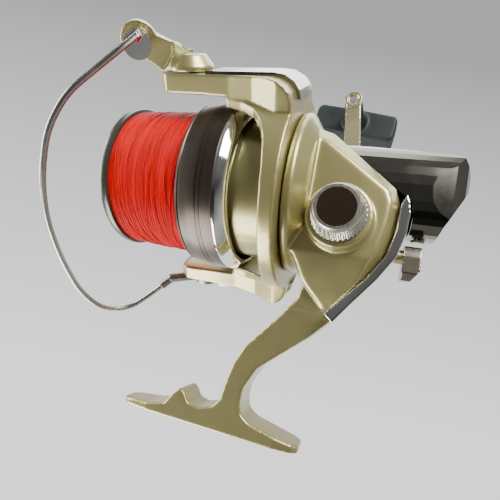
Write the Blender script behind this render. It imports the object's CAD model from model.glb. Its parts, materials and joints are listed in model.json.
import json
import math

import bpy
from mathutils import Matrix, Vector

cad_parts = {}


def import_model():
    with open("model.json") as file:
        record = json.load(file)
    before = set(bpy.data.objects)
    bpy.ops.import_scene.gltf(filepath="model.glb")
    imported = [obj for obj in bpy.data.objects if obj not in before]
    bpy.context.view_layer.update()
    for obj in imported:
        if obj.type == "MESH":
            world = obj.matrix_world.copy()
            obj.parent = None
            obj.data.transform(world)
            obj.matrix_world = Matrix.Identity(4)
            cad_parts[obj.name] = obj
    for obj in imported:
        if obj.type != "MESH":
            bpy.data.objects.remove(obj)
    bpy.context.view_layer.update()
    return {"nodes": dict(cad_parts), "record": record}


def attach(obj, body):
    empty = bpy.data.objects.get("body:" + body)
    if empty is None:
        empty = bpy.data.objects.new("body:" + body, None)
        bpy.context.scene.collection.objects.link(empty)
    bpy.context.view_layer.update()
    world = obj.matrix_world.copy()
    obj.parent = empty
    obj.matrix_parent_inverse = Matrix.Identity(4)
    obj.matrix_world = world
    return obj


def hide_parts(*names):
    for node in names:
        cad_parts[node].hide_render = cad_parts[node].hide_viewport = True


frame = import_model()

# Lengths are in millimetres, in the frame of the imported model. point() turns them into metres.
MM = 0.001
AXIS_Z = -94.0
CRANK_X, CRANK_Z = -38.3, -81.8
NODES = frame["nodes"]


def point(x, y, z):
    return Vector((x * MM, y * MM, z * MM))


# ------------------------------------------------------------ camera

CAMERA_PLACE = (-50.3, -149.5, -52.2)
CAMERA_RIGHT = (-0.943, 0.274, -0.188)
CAMERA_FORWARD = (0.297, 0.949, -0.107)
SENSOR_WIDTH = 36
LENS = 28.0872


def make_camera():
    """Camera that faces the near side plate with the foot at the bottom of the picture."""
    right = Vector(CAMERA_RIGHT)
    forward = Vector(CAMERA_FORWARD).normalized()
    right = (right - forward * right.dot(forward)).normalized()
    up = right.cross(forward)
    data = bpy.data.cameras.new("camera")
    camera = bpy.data.objects.new("camera", data)
    bpy.context.scene.collection.objects.link(camera)
    turn = Matrix((right, up, -forward)).transposed().to_4x4()
    camera.matrix_world = Matrix.Translation(point(*CAMERA_PLACE)) @ turn
    data.sensor_width = SENSOR_WIDTH
    data.lens = LENS
    data.clip_start = 0.005
    bpy.context.scene.camera = camera
    return right, up, forward


RIGHT, UP, FORWARD = make_camera()


# ------------------------------------------------------------ node helpers

class Graph:
    """A material's node tree with a Principled shader and short ways to add to it."""

    def __init__(self, name):
        self.material = bpy.data.materials.new(name)
        self.material.use_nodes = True
        self.tree = self.material.node_tree
        self.shader = self.tree.nodes["Principled BSDF"]
        coords = self.tree.nodes.new("ShaderNodeTexCoord")
        self.coords = coords.outputs["Object"]

    def add(self, kind, **settings):
        node = self.tree.nodes.new(f"ShaderNode{kind}")
        for key, value in settings.items():
            setattr(node, key, value)
        return node

    def link(self, source, target):
        self.tree.links.new(source, target)

    def put(self, **values):
        for key, value in values.items():
            self.shader.inputs[key.replace("_", " ")].default_value = value

    def scaled(self, x, y, z):
        """Object coordinates stretched by three factors, per metre."""
        mapping = self.add("Mapping")
        mapping.inputs["Scale"].default_value = (x, y, z)
        self.link(self.coords, mapping.inputs["Vector"])
        return mapping.outputs["Vector"]

    def noise(self, scale, detail=3.0, rough=0.5, vector=None, distortion=0.0):
        node = self.add("TexNoise")
        node.inputs["Scale"].default_value = scale
        node.inputs["Detail"].default_value = detail
        node.inputs["Roughness"].default_value = rough
        node.inputs["Distortion"].default_value = distortion
        self.link(vector or self.coords, node.inputs["Vector"])
        return node.outputs["Fac"]

    def span(self, value, low, high, to_low=0.0, to_high=1.0):
        node = self.add("MapRange")
        limits = {"From Min": low, "From Max": high, "To Min": to_low, "To Max": to_high}
        for name, number in limits.items():
            node.inputs[name].default_value = number
        self.link(value, node.inputs["Value"])
        return node.outputs["Result"]

    def math(self, kind, a, b):
        node = self.add("Math", operation=kind)
        for socket, value in zip(node.inputs, (a, b)):
            if isinstance(value, (int, float)):
                socket.default_value = value
            else:
                self.link(value, socket)
        return node.outputs[0]

    def mix(self, factor, first, second):
        node = self.add("Mix", data_type="RGBA")
        for name, value in (("Factor", factor), ("A", first), ("B", second)):
            socket = next(s for s in node.inputs if s.name == name and s.enabled)
            if isinstance(value, (tuple, list)):
                socket.default_value = (*value, 1.0)
            elif isinstance(value, (int, float)):
                socket.default_value = value
            else:
                self.link(value, socket)
        return next(s for s in node.outputs if s.enabled)

    def bump(self, height, distance, strength=1.0):
        node = self.add("Bump")
        node.inputs["Strength"].default_value = strength
        node.inputs["Distance"].default_value = distance * MM
        self.link(height, node.inputs["Height"])
        return node.outputs["Normal"]

    def parts_of(self, vector=None):
        node = self.add("SeparateXYZ")
        self.link(vector or self.coords, node.inputs[0])
        return node.outputs


ORANGE_PEEL = 0.001


def paint(name, colour, shade, rough=0.31, metallic=0.75, coat=0.45):
    """Metallic paint under clear lacquer: flakes, faint cloudiness and a trace of orange peel."""
    graph = Graph(name)
    flakes = graph.add("TexVoronoi")
    flakes.inputs["Scale"].default_value = 7000
    graph.link(graph.coords, flakes.inputs["Vector"])
    cloud = graph.noise(60, 4)
    flake = graph.parts_of(flakes.outputs["Color"])["X"]
    sparkle = graph.math("MULTIPLY", flake, 0.3)
    tone = graph.math("ADD", graph.span(cloud, 0.3, 0.7, 0.4, 0.6), sparkle)
    gloss = graph.span(graph.noise(180, 3), 0.3, 0.7, rough, rough + 0.04)
    graph.link(graph.mix(tone, shade, colour), graph.shader.inputs["Base Color"])
    graph.link(gloss, graph.shader.inputs["Roughness"])
    peel = graph.bump(graph.noise(900, 2), ORANGE_PEEL)
    graph.link(peel, graph.shader.inputs["Normal"])
    graph.put(Metallic=metallic, Coat_Weight=coat, Coat_Roughness=0.14, Coat_IOR=1.5)
    return graph.material


def chrome(name, colour, rough=0.05, smears=0.06, hairs=0.002):
    """Plated metal with faint smears and hairlines."""
    graph = Graph(name)
    smear = graph.noise(90, 5, 0.6, distortion=0.6)
    hair = graph.noise(1.0, 2, 0.5, vector=graph.scaled(250, 4000, 2500))
    graph.link(graph.span(smear, 0.35, 0.75, rough, rough + smears), graph.shader.inputs["Roughness"])
    tint = [c * 0.86 for c in colour]
    graph.link(graph.mix(graph.span(smear, 0.3, 0.7), tint, colour), graph.shader.inputs["Base Color"])
    graph.link(graph.bump(hair, hairs, 0.6), graph.shader.inputs["Normal"])
    graph.put(Metallic=1.0, Coat_Weight=0.15, Coat_Roughness=0.03)
    return graph.material


def turned_metal(name, colour, shade, rough=0.3, metallic=0.9, depth=0.006, coat=0.25):
    """Anodised metal with the fine rings that a lathe leaves round the spool axis."""
    graph = Graph(name)
    rings = graph.noise(1.0, 4, 0.65, vector=graph.scaled(3500, 8, 8))
    broad = graph.noise(1.0, 2, 0.5, vector=graph.scaled(420, 3, 3))
    tone = graph.mix(graph.span(broad, 0.25, 0.75), shade, colour)
    gloss = graph.span(rings, 0.3, 0.7, rough - 0.07, rough + 0.09)
    graph.link(tone, graph.shader.inputs["Base Color"])
    graph.link(gloss, graph.shader.inputs["Roughness"])
    graph.link(graph.bump(rings, depth), graph.shader.inputs["Normal"])
    graph.put(Metallic=metallic, Coat_Weight=coat, Coat_Roughness=0.2)
    return graph.material


def rubber(name, colour, shade, rough, grain=2600, depth=0.02, sheen=0.0, coat=0.0, specular=0.5):
    """Moulded grip or plastic with a fine leathery grain."""
    graph = Graph(name)
    grains = graph.noise(grain, 3, 0.55)
    wear = graph.noise(70, 4)
    graph.link(graph.mix(graph.span(wear, 0.35, 0.7), shade, colour), graph.shader.inputs["Base Color"])
    graph.link(graph.span(wear, 0.3, 0.7, rough - 0.08, rough + 0.08), graph.shader.inputs["Roughness"])
    graph.link(graph.bump(grains, depth), graph.shader.inputs["Normal"])
    graph.put(Sheen_Weight=sheen, Sheen_Roughness=0.45, IOR=1.5, Coat_Weight=coat,
              Coat_Roughness=0.15, Specular_IOR_Level=specular)
    return graph.material


def steel(name, colour=(0.55, 0.55, 0.54), rough=0.24):
    """Bare metal with a fine brushed grain."""
    graph = Graph(name)
    brushed = graph.noise(1.0, 3, 0.6, vector=graph.scaled(3000, 260, 260))
    tint = [c * 0.8 for c in colour]
    gloss = graph.span(brushed, 0.3, 0.7, rough - 0.06, rough + 0.1)
    graph.link(graph.mix(brushed, tint, colour), graph.shader.inputs["Base Color"])
    graph.link(gloss, graph.shader.inputs["Roughness"])
    graph.link(graph.bump(brushed, 0.004), graph.shader.inputs["Normal"])
    graph.put(Metallic=1.0, Anisotropic=0.3)
    return graph.material


def nylon(name):
    """Bright nylon line: slightly clear, a little glossy, drifting in tone along the spool."""
    graph = Graph(name)
    drift = graph.noise(1.0, 3, 0.6, vector=graph.scaled(900, 26, 26))
    deep, bright = (0.30, 0.0006, 0.001), (0.70, 0.002, 0.002)
    colour = graph.mix(graph.span(drift, 0.3, 0.72), deep, bright)
    strands = graph.noise(1.0, 2, vector=graph.scaled(2200, 500, 500))
    graph.link(colour, graph.shader.inputs["Base Color"])
    graph.link(colour, graph.shader.inputs["Emission Color"])
    graph.link(graph.span(drift, 0.3, 0.7, 0.34, 0.46), graph.shader.inputs["Roughness"])
    graph.link(graph.bump(strands, 0.01), graph.shader.inputs["Normal"])
    graph.put(Subsurface_Weight=0.2, Subsurface_Radius=(1.0, 0.15, 0.1), Subsurface_Scale=0.0004,
              IOR=1.45, Coat_Weight=0.0, Specular_IOR_Level=0.08, Emission_Strength=0.04)
    return graph.material


GOLD = paint("gold_paint", (0.41, 0.365, 0.160), (0.30, 0.264, 0.106))
OLIVE = paint("olive_paint", (0.17, 0.16, 0.09), (0.10, 0.095, 0.05), rough=0.22, coat=0.9)
CRANK_GOLD = paint("crank_paint", (0.38, 0.34, 0.19), (0.28, 0.25, 0.13), rough=0.24)
HOLDER = paint("holder_grey", (0.20, 0.20, 0.175), (0.13, 0.13, 0.11), rough=0.3, coat=0.4)
LEVER = paint("lever_bronze", (0.20, 0.17, 0.13), (0.13, 0.11, 0.085), rough=0.2, metallic=0.9)
DARK_CHROME = chrome("dark_chrome", (0.155, 0.150, 0.125), 0.10, 0.08, 0.0005)
CHROME = chrome("bright_chrome", (0.80, 0.80, 0.76), 0.05, 0.07)
GREY_CHROME = chrome("grey_chrome", (0.46, 0.45, 0.40), 0.10, 0.12)
ROLLER = chrome("roller_chrome", (0.72, 0.69, 0.66), 0.04, 0.05)
DISC = chrome("dark_mirror", (0.26, 0.17, 0.12), 0.03, 0.04)
WIRE = chrome("wire_steel", (0.40, 0.385, 0.35), 0.30, 0.08, 0.0002)
SKIRT = turned_metal("spool_bronze", (0.075, 0.060, 0.047), (0.050, 0.040, 0.031),
                     rough=0.34, depth=0.003, coat=0.12)
LIP = turned_metal("lip_grey", (0.085, 0.09, 0.070), (0.06, 0.063, 0.05), metallic=0.7)
DRAG = turned_metal("drag_anodised", (0.11, 0.115, 0.10), (0.07, 0.075, 0.065), rough=0.33)
KNURL = steel("knurled_silver", (0.44, 0.42, 0.36), 0.3)
STEEL = steel("plain_steel")
BRASS = steel("bush_brass", (0.62, 0.46, 0.22), 0.25)
KNOB = rubber("knob_rubber", (0.012, 0.017, 0.016), (0.008, 0.011, 0.011), 0.55, specular=0.25)
PLASTIC = rubber("black_plastic", (0.014, 0.014, 0.016), (0.008, 0.008, 0.009), 0.35, coat=0.2)
FELT = rubber("felt", (0.35, 0.32, 0.26), (0.24, 0.22, 0.18), 0.9, grain=1500, depth=0.2, sheen=0.6)
LINE = nylon("red_line")


# ------------------------------------------------------------ geometry helpers

def dress(obj, material):
    obj.data.materials.clear()
    obj.data.materials.append(material)


def smooth_by_angle(mesh, degrees):
    mesh.shade_smooth()
    mesh.set_sharp_from_angle(angle=math.radians(degrees))


def new_mesh(name, vertices, faces, material, body, replaced, slot, sharp):
    """A finished piece: smooth but for edges over the sharp angle, riding on a body."""
    mesh = bpy.data.meshes.new(name)
    mesh.from_pydata(vertices, [], faces)
    mesh.validate()
    mesh.update()
    smooth_by_angle(mesh, sharp)
    obj = bpy.data.objects.new(name, mesh)
    bpy.context.scene.collection.objects.link(obj)
    mesh.materials.append(material)
    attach(obj, body)
    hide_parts(replaced)
    return obj


def grid_faces(rows, columns, close_rows):
    """Quads of a grid that is closed round its columns, and round its rows too if asked."""
    faces = []
    for i in range(rows if close_rows else rows - 1):
        for j in range(columns):
            a, b = i * columns + j, i * columns + (j + 1) % columns
            k = (i + 1) % rows
            faces.append((a, b, k * columns + (j + 1) % columns, k * columns + j))
    return faces


def on_axis(along, radius, turn):
    """A point round the spool axis."""
    return point(along, radius * math.cos(turn), AXIS_Z + radius * math.sin(turn))


def full_turn(count):
    """Equal steps round a circle, as angles."""
    return [2 * math.pi * step / count for step in range(count)]


def lathe(name, profile, material, **more):
    """A closed profile of (along, radius) turned about the spool axis."""
    around = 224
    vertices = [on_axis(along, radius, turn) for along, radius in profile for turn in full_turn(around)]
    faces = grid_faces(len(profile), around, True)
    return new_mesh(name, vertices, faces, material, "spool", **more)


def soften(node, voxel, rounds):
    """Rounds a CAD casting's edges, as the mould and the paint do."""
    obj = NODES[node]
    remesh = obj.modifiers.new("remesh", "REMESH")
    remesh.mode = "VOXEL"
    remesh.voxel_size = voxel * MM
    remesh.use_smooth_shade = True
    relax = obj.modifiers.new("relax", "SMOOTH")
    relax.iterations = rounds
    relax.factor = 0.5


def shade_by_angle(node, degrees):
    """Smooth shading as a modifier: edges bent by more than the angle stay sharp."""
    tree = bpy.data.node_groups.new(f"shade_{node}", "GeometryNodeTree")
    for side in ("INPUT", "OUTPUT"):
        tree.interface.new_socket("Geometry", in_out=side, socket_type="NodeSocketGeometry")
    source = tree.nodes.new("NodeGroupInput")
    result = tree.nodes.new("NodeGroupOutput")
    faces = tree.nodes.new("GeometryNodeSetShadeSmooth")
    faces.domain = "FACE"
    bent = tree.nodes.new("GeometryNodeInputMeshEdgeAngle")
    sharp = tree.nodes.new("FunctionNodeCompare")
    sharp.operation = "GREATER_THAN"
    sharp.inputs["B"].default_value = math.radians(degrees)
    edges = tree.nodes.new("GeometryNodeSetShadeSmooth")
    edges.domain = "EDGE"
    edges.inputs["Shade Smooth"].default_value = False
    tree.links.new(source.outputs[0], faces.inputs["Geometry"])
    tree.links.new(faces.outputs[0], edges.inputs["Geometry"])
    tree.links.new(bent.outputs["Unsigned Angle"], sharp.inputs["A"])
    tree.links.new(sharp.outputs[0], edges.inputs["Selection"])
    tree.links.new(edges.outputs[0], result.inputs[0])
    NODES[node].modifiers.new("shade", "NODES").node_group = tree


def edge(node, width, angle=35, segments=2):
    """Breaks a CAD node's edges that are sharper than the angle."""
    bevel = NODES[node].modifiers.new("edge", "BEVEL")
    bevel.width = width * MM
    bevel.segments = segments
    bevel.limit_method = "ANGLE"
    bevel.angle_limit = math.radians(angle)
    bevel.harden_normals = False


# ------------------------------------------------------------ materials on the CAD nodes

BY_SLOT = {
    "gold_paint": GOLD, "olive_paint": OLIVE, "dark_chrome": DARK_CHROME, "bright_chrome": CHROME,
    "plain_steel": STEEL, "plain_aluminium": STEEL, "bush_brass": BRASS, "black_plastic": PLASTIC,
    "dark_plastic": LEVER, "roller_chrome": ROLLER, "wire_steel": WIRE, "holder_grey": HOLDER,
    "spool_bronze": SKIRT, "red_line": LINE, "felt": FELT, "drag_knob_paint": DRAG,
    "knurled_silver": KNURL, "dark_mirror": DISC, "crank_paint": CRANK_GOLD, "knob_rubber": KNOB,
}
SLOT_OF = {part["node"]: part["material_slot"] for part in frame["record"]["subparts"]}
for node_name, node_obj in NODES.items():
    dress(node_obj, BY_SLOT[SLOT_OF[node_name]])
for node_name in ("arm_cover_1", "arm_cover_2"):
    dress(NODES[node_name], GREY_CHROME)

# Cast and moulded nodes: voxel in mm, then rounds of smoothing.
for soft_node, voxel, rounds in (
    ("body_housing", 0.42, 22), ("rotor", 0.42, 14), ("bail_arm", 0.25, 24), ("bail_holder", 0.25, 5),
    ("rear_guard", 0.35, 10), ("knob", 0.6, 24), ("crank_arm", 0.4, 6),
    ("anti_reverse_lever", 0.25, 4), ("side_cover", 0.4, 4),
):
    soften(soft_node, voxel, rounds)
for smooth_node, limit in (
    ("rear_cover", 24), ("bail_wire", 50), ("line_roller", 35), ("roller_cap", 30),
):
    shade_by_angle(smooth_node, limit)
edge("rear_cover", 0.5, 30, 3)
for edge_node, width in (
    ("arm_cover_1", 0.25), ("arm_cover_2", 0.25), ("roller_cap", 0.35), ("line_roller", 0.2),
    ("screw_cap_disc", 0.2),
):
    edge(edge_node, width)


# ------------------------------------------------------------ spool and line

LINE_START, LINE_END, STRAND = 18.95, 49.65, 0.42
LINE_REAR_RADIUS, LINE_TAPER, LINE_CROWN, STRAND_DEPTH = 29.0, 0.8, 0.25, 0.23
ARBOR_RADIUS, HUB_BORE = 22, 5.05
LIP_REAR, LIP_START = 49.7, 49.0


def line_radius(along):
    """Radius under the last layer of line, which narrows forwards and bulges in the middle."""
    t = (along - LINE_START) / (LINE_END - LINE_START)
    crown = LINE_CROWN * math.sin(math.pi * t)
    return LINE_REAR_RADIUS - LINE_TAPER * t + crown - STRAND_DEPTH


def winding():
    """The wound line as one helix of strands laid side by side."""
    per_turn, around = 7, 200
    count = int((LINE_END - LINE_START) / STRAND * per_turn)
    vertices = []
    for i in range(count + 1):
        along = LINE_START + (LINE_END - LINE_START) * i / count
        base = line_radius(along)
        for j, turn in enumerate(full_turn(around)):
            turns_laid = along / STRAND + j / around
            strand, phase = math.floor(turns_laid), turns_laid % 1.0
            crown = math.sqrt(max(0.0, 1 - (2 * phase - 1) ** 2))
            lift = 0.06 * math.sin(strand * 2.4) + 0.05 * math.sin(3 * turn + strand * 0.9)
            vertices.append(on_axis(along, base + STRAND * 0.42 * crown + lift, turn))
    for along in (LINE_END, LINE_START):
        vertices += [on_axis(along, ARBOR_RADIUS, turn) for turn in full_turn(around)]
    new_mesh("wound_line", vertices, grid_faces(count + 3, around, True), LINE, "spool",
             "line_winding", "red_line", sharp=70)


def crossing_strands():
    """Last turns of the line, laid at a slant over the others."""
    curve = bpy.data.curves.new("crossing_line", "CURVE")
    curve.dimensions = "3D"
    curve.bevel_depth = 0.2 * MM
    curve.bevel_resolution = 2
    for number in range(15):
        start = 19.6 + (number * 11.3) % 26
        rise = (5.5 + (number * 3.7) % 9) * (1 if number % 3 else -1)
        first = number * 2.4
        sweep = 2.2 + (number * 0.61) % 1.6
        samples = 40
        spline = curve.splines.new("POLY")
        spline.points.add(samples)
        for k in range(samples + 1):
            t = k / samples
            along = min(max(start + rise * t, LINE_START + 0.3), LINE_END - 0.3)
            turn = first + sweep * t
            radius = line_radius(along) + 0.26 - 0.3 * (2 * t - 1) ** 8
            spline.points[k].co = (*on_axis(along, radius, turn), 1)
    obj = bpy.data.objects.new("crossing_line", curve)
    bpy.context.scene.collection.objects.link(obj)
    curve.materials.append(LINE)
    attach(obj, "spool")


def spool():
    """Spool with rounded rims and two engraved rings on the skirt."""
    profile = [(4.0, 31.8), (4.0, 33.3), (4.2, 33.5)]
    for ring in (8.6, 10.2):
        profile += [(ring - 0.18, 33.42), (ring - 0.1, 33.25), (ring + 0.1, 33.25),
                    (ring + 0.18, 33.4)]
    profile += [
        (13.0, 33.3), (17.3, 32.55), (17.6, 32.2), (17.9, 32.45), (18.5, 32.3), (18.85, 31.9),
        (18.9, 31.3), (18.9, ARBOR_RADIUS), (LIP_REAR, ARBOR_RADIUS), (LIP_REAR, 28.9),
        (49.85, 29.25), (50.2, 29.4), (52.2, 29.4), (52.75, 29.15), (53.0, 28.6), (52.9, 27.6),
        (52.4, 26.8), (52.3, 20.9), (52.0, 20.4), (33, 20.4), (33, HUB_BORE), (16.4, HUB_BORE),
        (16.4, 8.0), (30, 8), (30, 20.4), (17, 20.4), (17, 30.3), (13, 31.6),
    ]
    obj = lathe("spool_turned", profile, SKIRT, replaced="spool", slot="spool_bronze", sharp=32)
    obj.data.materials.append(LIP)
    for face in obj.data.polygons:
        if face.center.x > LIP_START * MM:
            face.material_index = 1
    ring = [
        (-0.5, 29.0), (-0.5, 30.0), (-0.35, 30.35), (1.2, 31.6), (2.8, 33.1), (3.2, 33.3),
        (3.98, 33.3), (3.98, 31.9), (6.4, 31.6), (6.4, 30.5), (4.0, 29.0),
    ]
    lathe("skirt_ring", ring, CHROME, replaced="spool_ring", slot="bright_chrome", sharp=28)


winding()
crossing_strands()
spool()


# ------------------------------------------------------------ knurled screw cap

CAP_SEAT, CAP_RECESS, STUD_END = -26.4, -35.2, -14.0
STUD_RADIUS, KNURL_DEPTH = 2.6, 0.42


def on_crank(along, radius, turn):
    """A point round the crank axis."""
    return point(CRANK_X + radius * math.cos(turn), along, CRANK_Z + radius * math.sin(turn))


def screw_cap():
    """Diamond-knurled cap over the crank axis, with a raised plain rim and a stud behind."""
    around, ridges, steps = 324, 36, 34
    rows = [(CAP_SEAT, STUD_RADIUS, 0), (CAP_SEAT, 8.5, 0), (-26.6, 8.9, 0), (-27.2, 9.0, 0)]
    for k in range(steps + 1):
        t = k / steps
        rows.append((-27.5 - 6.8 * t, 8.98 - 1.25 * t, 1 if 0 < k < steps else 0))
    rows += [(-34.6, 7.6, 0), (-35.6, 7.3, 0), (-36.0, 6.9, 0), (-36.0, 6.0, 0), (-35.8, 5.8, 0),
             (CAP_RECESS, 5.8, 0)]
    vertices = []
    for along, radius, knurled in rows:
        shift = along * 4.4
        for turn in full_turn(around):
            wave = ridges * turn
            cuts = max(abs(math.cos((wave + shift) / 2)), abs(math.cos((wave - shift) / 2)))
            vertices.append(on_crank(along, radius - KNURL_DEPTH * knurled * cuts ** 5, turn))
    face_middle, stud_middle = len(vertices), len(vertices) + 1
    vertices += [on_crank(CAP_RECESS, 0, 0), on_crank(STUD_END, 0, 0)]
    faces = grid_faces(len(rows), around, False)
    last_row, stud = face_middle - around, len(vertices)
    for along in (CAP_SEAT, STUD_END):
        vertices += [on_crank(along, STUD_RADIUS, turn) for turn in full_turn(around)]
    for j in range(around):
        k = (j + 1) % around
        faces.append((last_row + j, last_row + k, face_middle))
    for j in range(around):
        k = (j + 1) % around
        faces.append((stud + j, stud + k, stud + around + k, stud + around + j))
        faces.append((stud + around + j, stud + around + k, stud_middle))
    new_mesh("knurled_cap", vertices, faces, KNURL, "screw_cap", "screw_cap", "knurled_silver",
             sharp=30)


screw_cap()


# ------------------------------------------------------------ stage and light

BACKDROP_AWAY, BACKDROP_HALF = 1.6, 4.0
AIM = point(0, 0, -85)


def backdrop():
    """A pale sheet far behind the reel, lighter towards the foot."""
    graph = Graph("backdrop")
    centre = point(0, 0, -80) + FORWARD * BACKDROP_AWAY
    corners = [RIGHT * BACKDROP_HALF * a + UP * BACKDROP_HALF * b
               for a, b in ((-1, -1), (1, -1), (1, 1), (-1, 1))]
    mesh = bpy.data.meshes.new("backdrop")
    mesh.from_pydata(corners, [], [(0, 1, 2, 3)])
    obj = bpy.data.objects.new("backdrop", mesh)
    obj.location = centre
    bpy.context.scene.collection.objects.link(obj)
    drop = graph.parts_of()["Z"]
    tone = graph.span(drop, -1.0, 0.7, 0.46, 1.45)
    shade = graph.add("CombineColor")
    for channel in ("Red", "Green", "Blue"):
        graph.link(tone, shade.inputs[channel])
    graph.link(shade.outputs[0], graph.shader.inputs["Emission Color"])
    graph.put(Roughness=1.0, Base_Color=(0.02, 0.02, 0.02, 1), Emission_Strength=1.0)
    mesh.materials.append(graph.material)


def area(name, where, wide, high, power):
    """Soft rectangular light aimed at the reel: size in metres, power in watts."""
    data = bpy.data.lights.new(name, "AREA")
    data.shape = "RECTANGLE"
    data.size, data.size_y = wide, high
    data.energy = power
    obj = bpy.data.objects.new(name, data)
    obj.location = where
    obj.rotation_mode = "QUATERNION"
    obj.rotation_quaternion = (AIM - where).to_track_quat("-Z", "Y")
    bpy.context.scene.collection.objects.link(obj)


def world():
    """Plain grey room: pale behind the reel, dim in front of it, paler below the spool."""
    scene_world = bpy.data.worlds.new("room")
    bpy.context.scene.world = scene_world
    scene_world.use_nodes = True
    tree = scene_world.node_tree
    ground = tree.nodes["Background"]
    coords = tree.nodes.new("ShaderNodeTexCoord")
    parts = tree.nodes.new("ShaderNodeSeparateXYZ")
    tree.links.new(coords.outputs["Generated"], parts.inputs[0])

    def span(source, low, high, start, end):
        node = tree.nodes.new("ShaderNodeMapRange")
        limits = {"From Min": low, "From Max": high, "To Min": start, "To Max": end}
        for name, value in limits.items():
            node.inputs[name].default_value = value
        tree.links.new(source, node.inputs["Value"])
        return node.outputs["Result"]

    def math_node(operation, one, two):
        node = tree.nodes.new("ShaderNodeMath")
        node.operation = operation
        tree.links.new(one, node.inputs[0])
        tree.links.new(two, node.inputs[1])
        return node.outputs[0]

    blotch = tree.nodes.new("ShaderNodeTexNoise")
    blotch.inputs["Scale"].default_value = 1.9
    blotch.inputs["Detail"].default_value = 1.0
    tree.links.new(coords.outputs["Generated"], blotch.inputs["Vector"])
    table = span(parts.outputs["Y"], -0.70, -0.20, 0.0, 0.72)
    ceiling = span(parts.outputs["Z"], 0.40, -0.95, 0.05, 0.50)
    patch = span(blotch.outputs["Fac"], 0.36, 0.64, 0.72, 1.12)
    value = math_node("MULTIPLY", math_node("MAXIMUM", table, ceiling), patch)
    tree.links.new(value, ground.inputs["Color"])
    ground.inputs["Strength"].default_value = 0.75


backdrop()
world()
area("key", point(-300, -300, -420), 0.30, 0.30, 7)
area("top", point(60, 160, -560), 0.6, 0.5, 3.5)
area("foot_side", point(260, -60, 420), 0.5, 0.35, 7)
area("front", point(460, -120, -120), 0.25, 0.45, 4)
